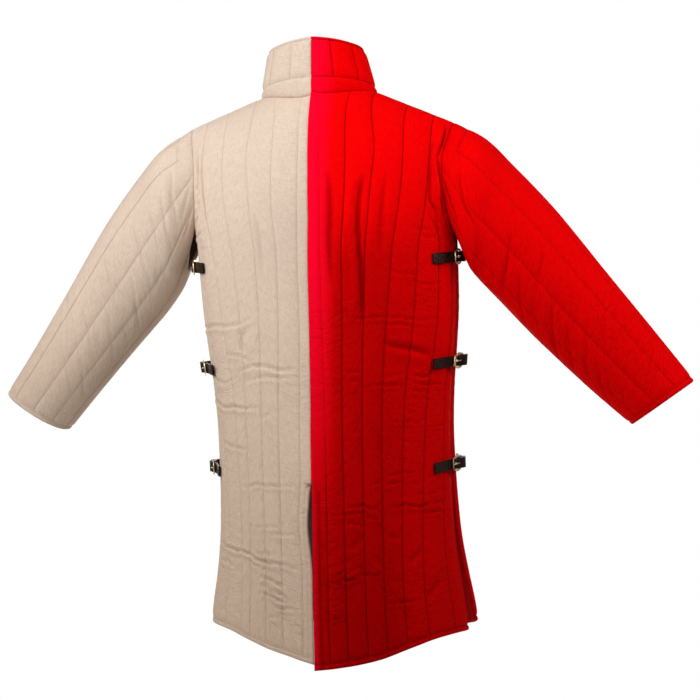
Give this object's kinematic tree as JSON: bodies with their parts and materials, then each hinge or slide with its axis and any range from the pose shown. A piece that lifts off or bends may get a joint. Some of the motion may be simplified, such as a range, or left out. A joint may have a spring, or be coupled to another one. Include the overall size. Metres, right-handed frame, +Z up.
{
  "type": "gambeson",
  "caption": "Quilted padded coat, half natural and half red, high collar, sleeves open under the arm, sides closed by short buckled straps.",
  "frame": {"origin": "the middle of the neck opening, level with the side of the neck, where the coat rests on its wearer", "axes": "+Z up, -Y the way the wearer faces, +X to the wearer's left (the natural half)"},
  "size_m": [1.242, 0.3524, 1.0571],
  "materials": {
    "natural_cotton": "plain woven cotton, quilted",
    "red_cotton": "plain woven cotton, quilted",
    "dark_leather": "smooth",
    "pale_brass": "satin"
  },
  "bodies": {
    "root": {"back_left": "natural_cotton", "front_left": "natural_cotton", "sleeve_left": "natural_cotton", "collar_left": "natural_cotton", "strap_upper_left": "dark_leather", "chape_upper_left": "dark_leather", "buckle_upper_left": "pale_brass", "prong_upper_left": "pale_brass", "strap_middle_left": "dark_leather", "chape_middle_left": "dark_leather", "buckle_middle_left": "pale_brass", "prong_middle_left": "pale_brass", "strap_lower_left": "dark_leather", "chape_lower_left": "dark_leather", "buckle_lower_left": "pale_brass", "prong_lower_left": "pale_brass", "back_right": "red_cotton", "front_right": "red_cotton", "sleeve_right": "red_cotton", "collar_right": "red_cotton", "strap_upper_right": "dark_leather", "chape_upper_right": "dark_leather", "buckle_upper_right": "pale_brass", "prong_upper_right": "pale_brass", "strap_middle_right": "dark_leather", "chape_middle_right": "dark_leather", "buckle_middle_right": "pale_brass", "prong_middle_right": "pale_brass", "strap_lower_right": "dark_leather", "chape_lower_right": "dark_leather", "buckle_lower_right": "pale_brass", "prong_lower_right": "pale_brass"}
  },
  "joints": []
}
